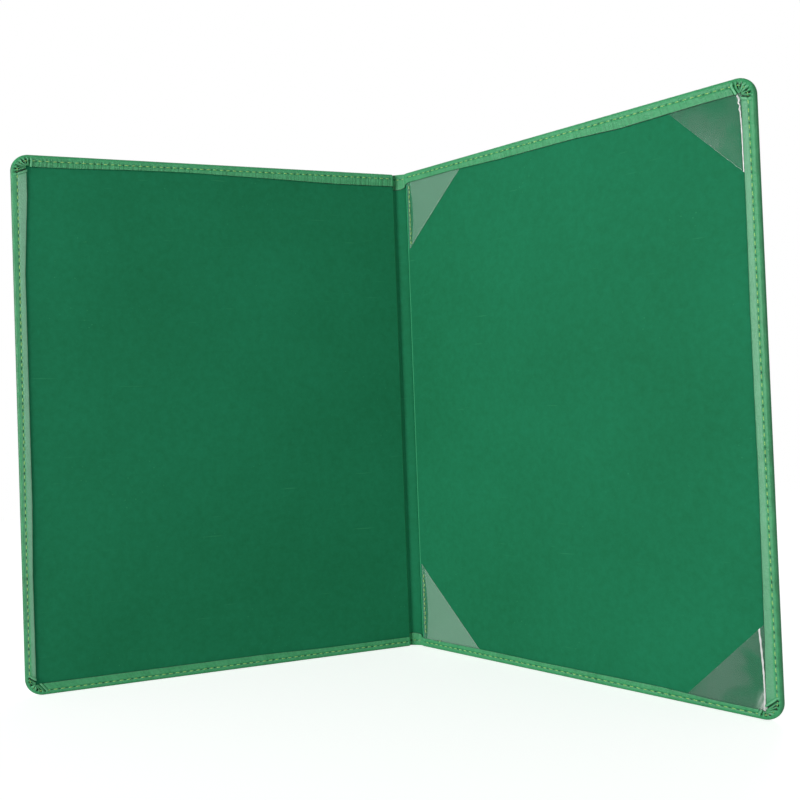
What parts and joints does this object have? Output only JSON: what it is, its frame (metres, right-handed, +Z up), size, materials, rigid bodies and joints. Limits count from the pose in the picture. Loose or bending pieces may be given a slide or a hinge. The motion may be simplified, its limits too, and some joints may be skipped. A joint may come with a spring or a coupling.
{
  "type": "diploma cover",
  "caption": "Open diploma cover that stands on its edges: two stiff hinged covers in stitched green leatherette, lined inside, with clear corner pockets for the sheet.",
  "frame": {"origin": "middle of the ground that the standing, part-open cover takes up, at the height of its bottom edges", "axes": "+Z up along the spine, +Y towards the back (the spine), so that the open inside looks along -Y; +X to the right cover"},
  "size_m": [0.404, 0.1272, 0.31],
  "materials": {
    "leatherette": "smooth green leatherette, half gloss",
    "lining": "smooth dark green coated lining paper, matte",
    "board": "grey bookbinding board",
    "thread": "pale yellow-green sewing thread",
    "film": "clear glossy film, slightly milky"
  },
  "bodies": {
    "spine": {"spine_cover": "leatherette", "spine_lining": "lining", "spine_thread_top": "thread", "spine_thread_bottom": "thread"},
    "left_cover_body": {"left_cover": "leatherette", "left_board": "board", "left_lining": "lining", "left_seam_thread": "thread"},
    "right_cover_body": {"right_cover": "leatherette", "right_board": "board", "right_lining": "lining", "right_seam_thread": "thread", "film_outer_top": "film", "film_outer_bottom": "film", "film_spine_top": "film", "film_spine_bottom": "film", "pocket_thread_top": "thread", "pocket_thread_bottom": "thread"}
  },
  "joints": [
    {"name": "left_fold", "type": "hinge", "parent": "spine", "child": "left_cover_body", "pos_m": [-0.004, 0.06317, 0.155], "axis": [0, 0, 1], "range_deg": [-32.1, 57.9]},
    {"name": "right_fold", "type": "hinge", "parent": "spine", "child": "right_cover_body", "pos_m": [0.004, 0.06317, 0.155], "axis": [0, 0, -1], "range_deg": [-32.1, 57.9]}
  ]
}
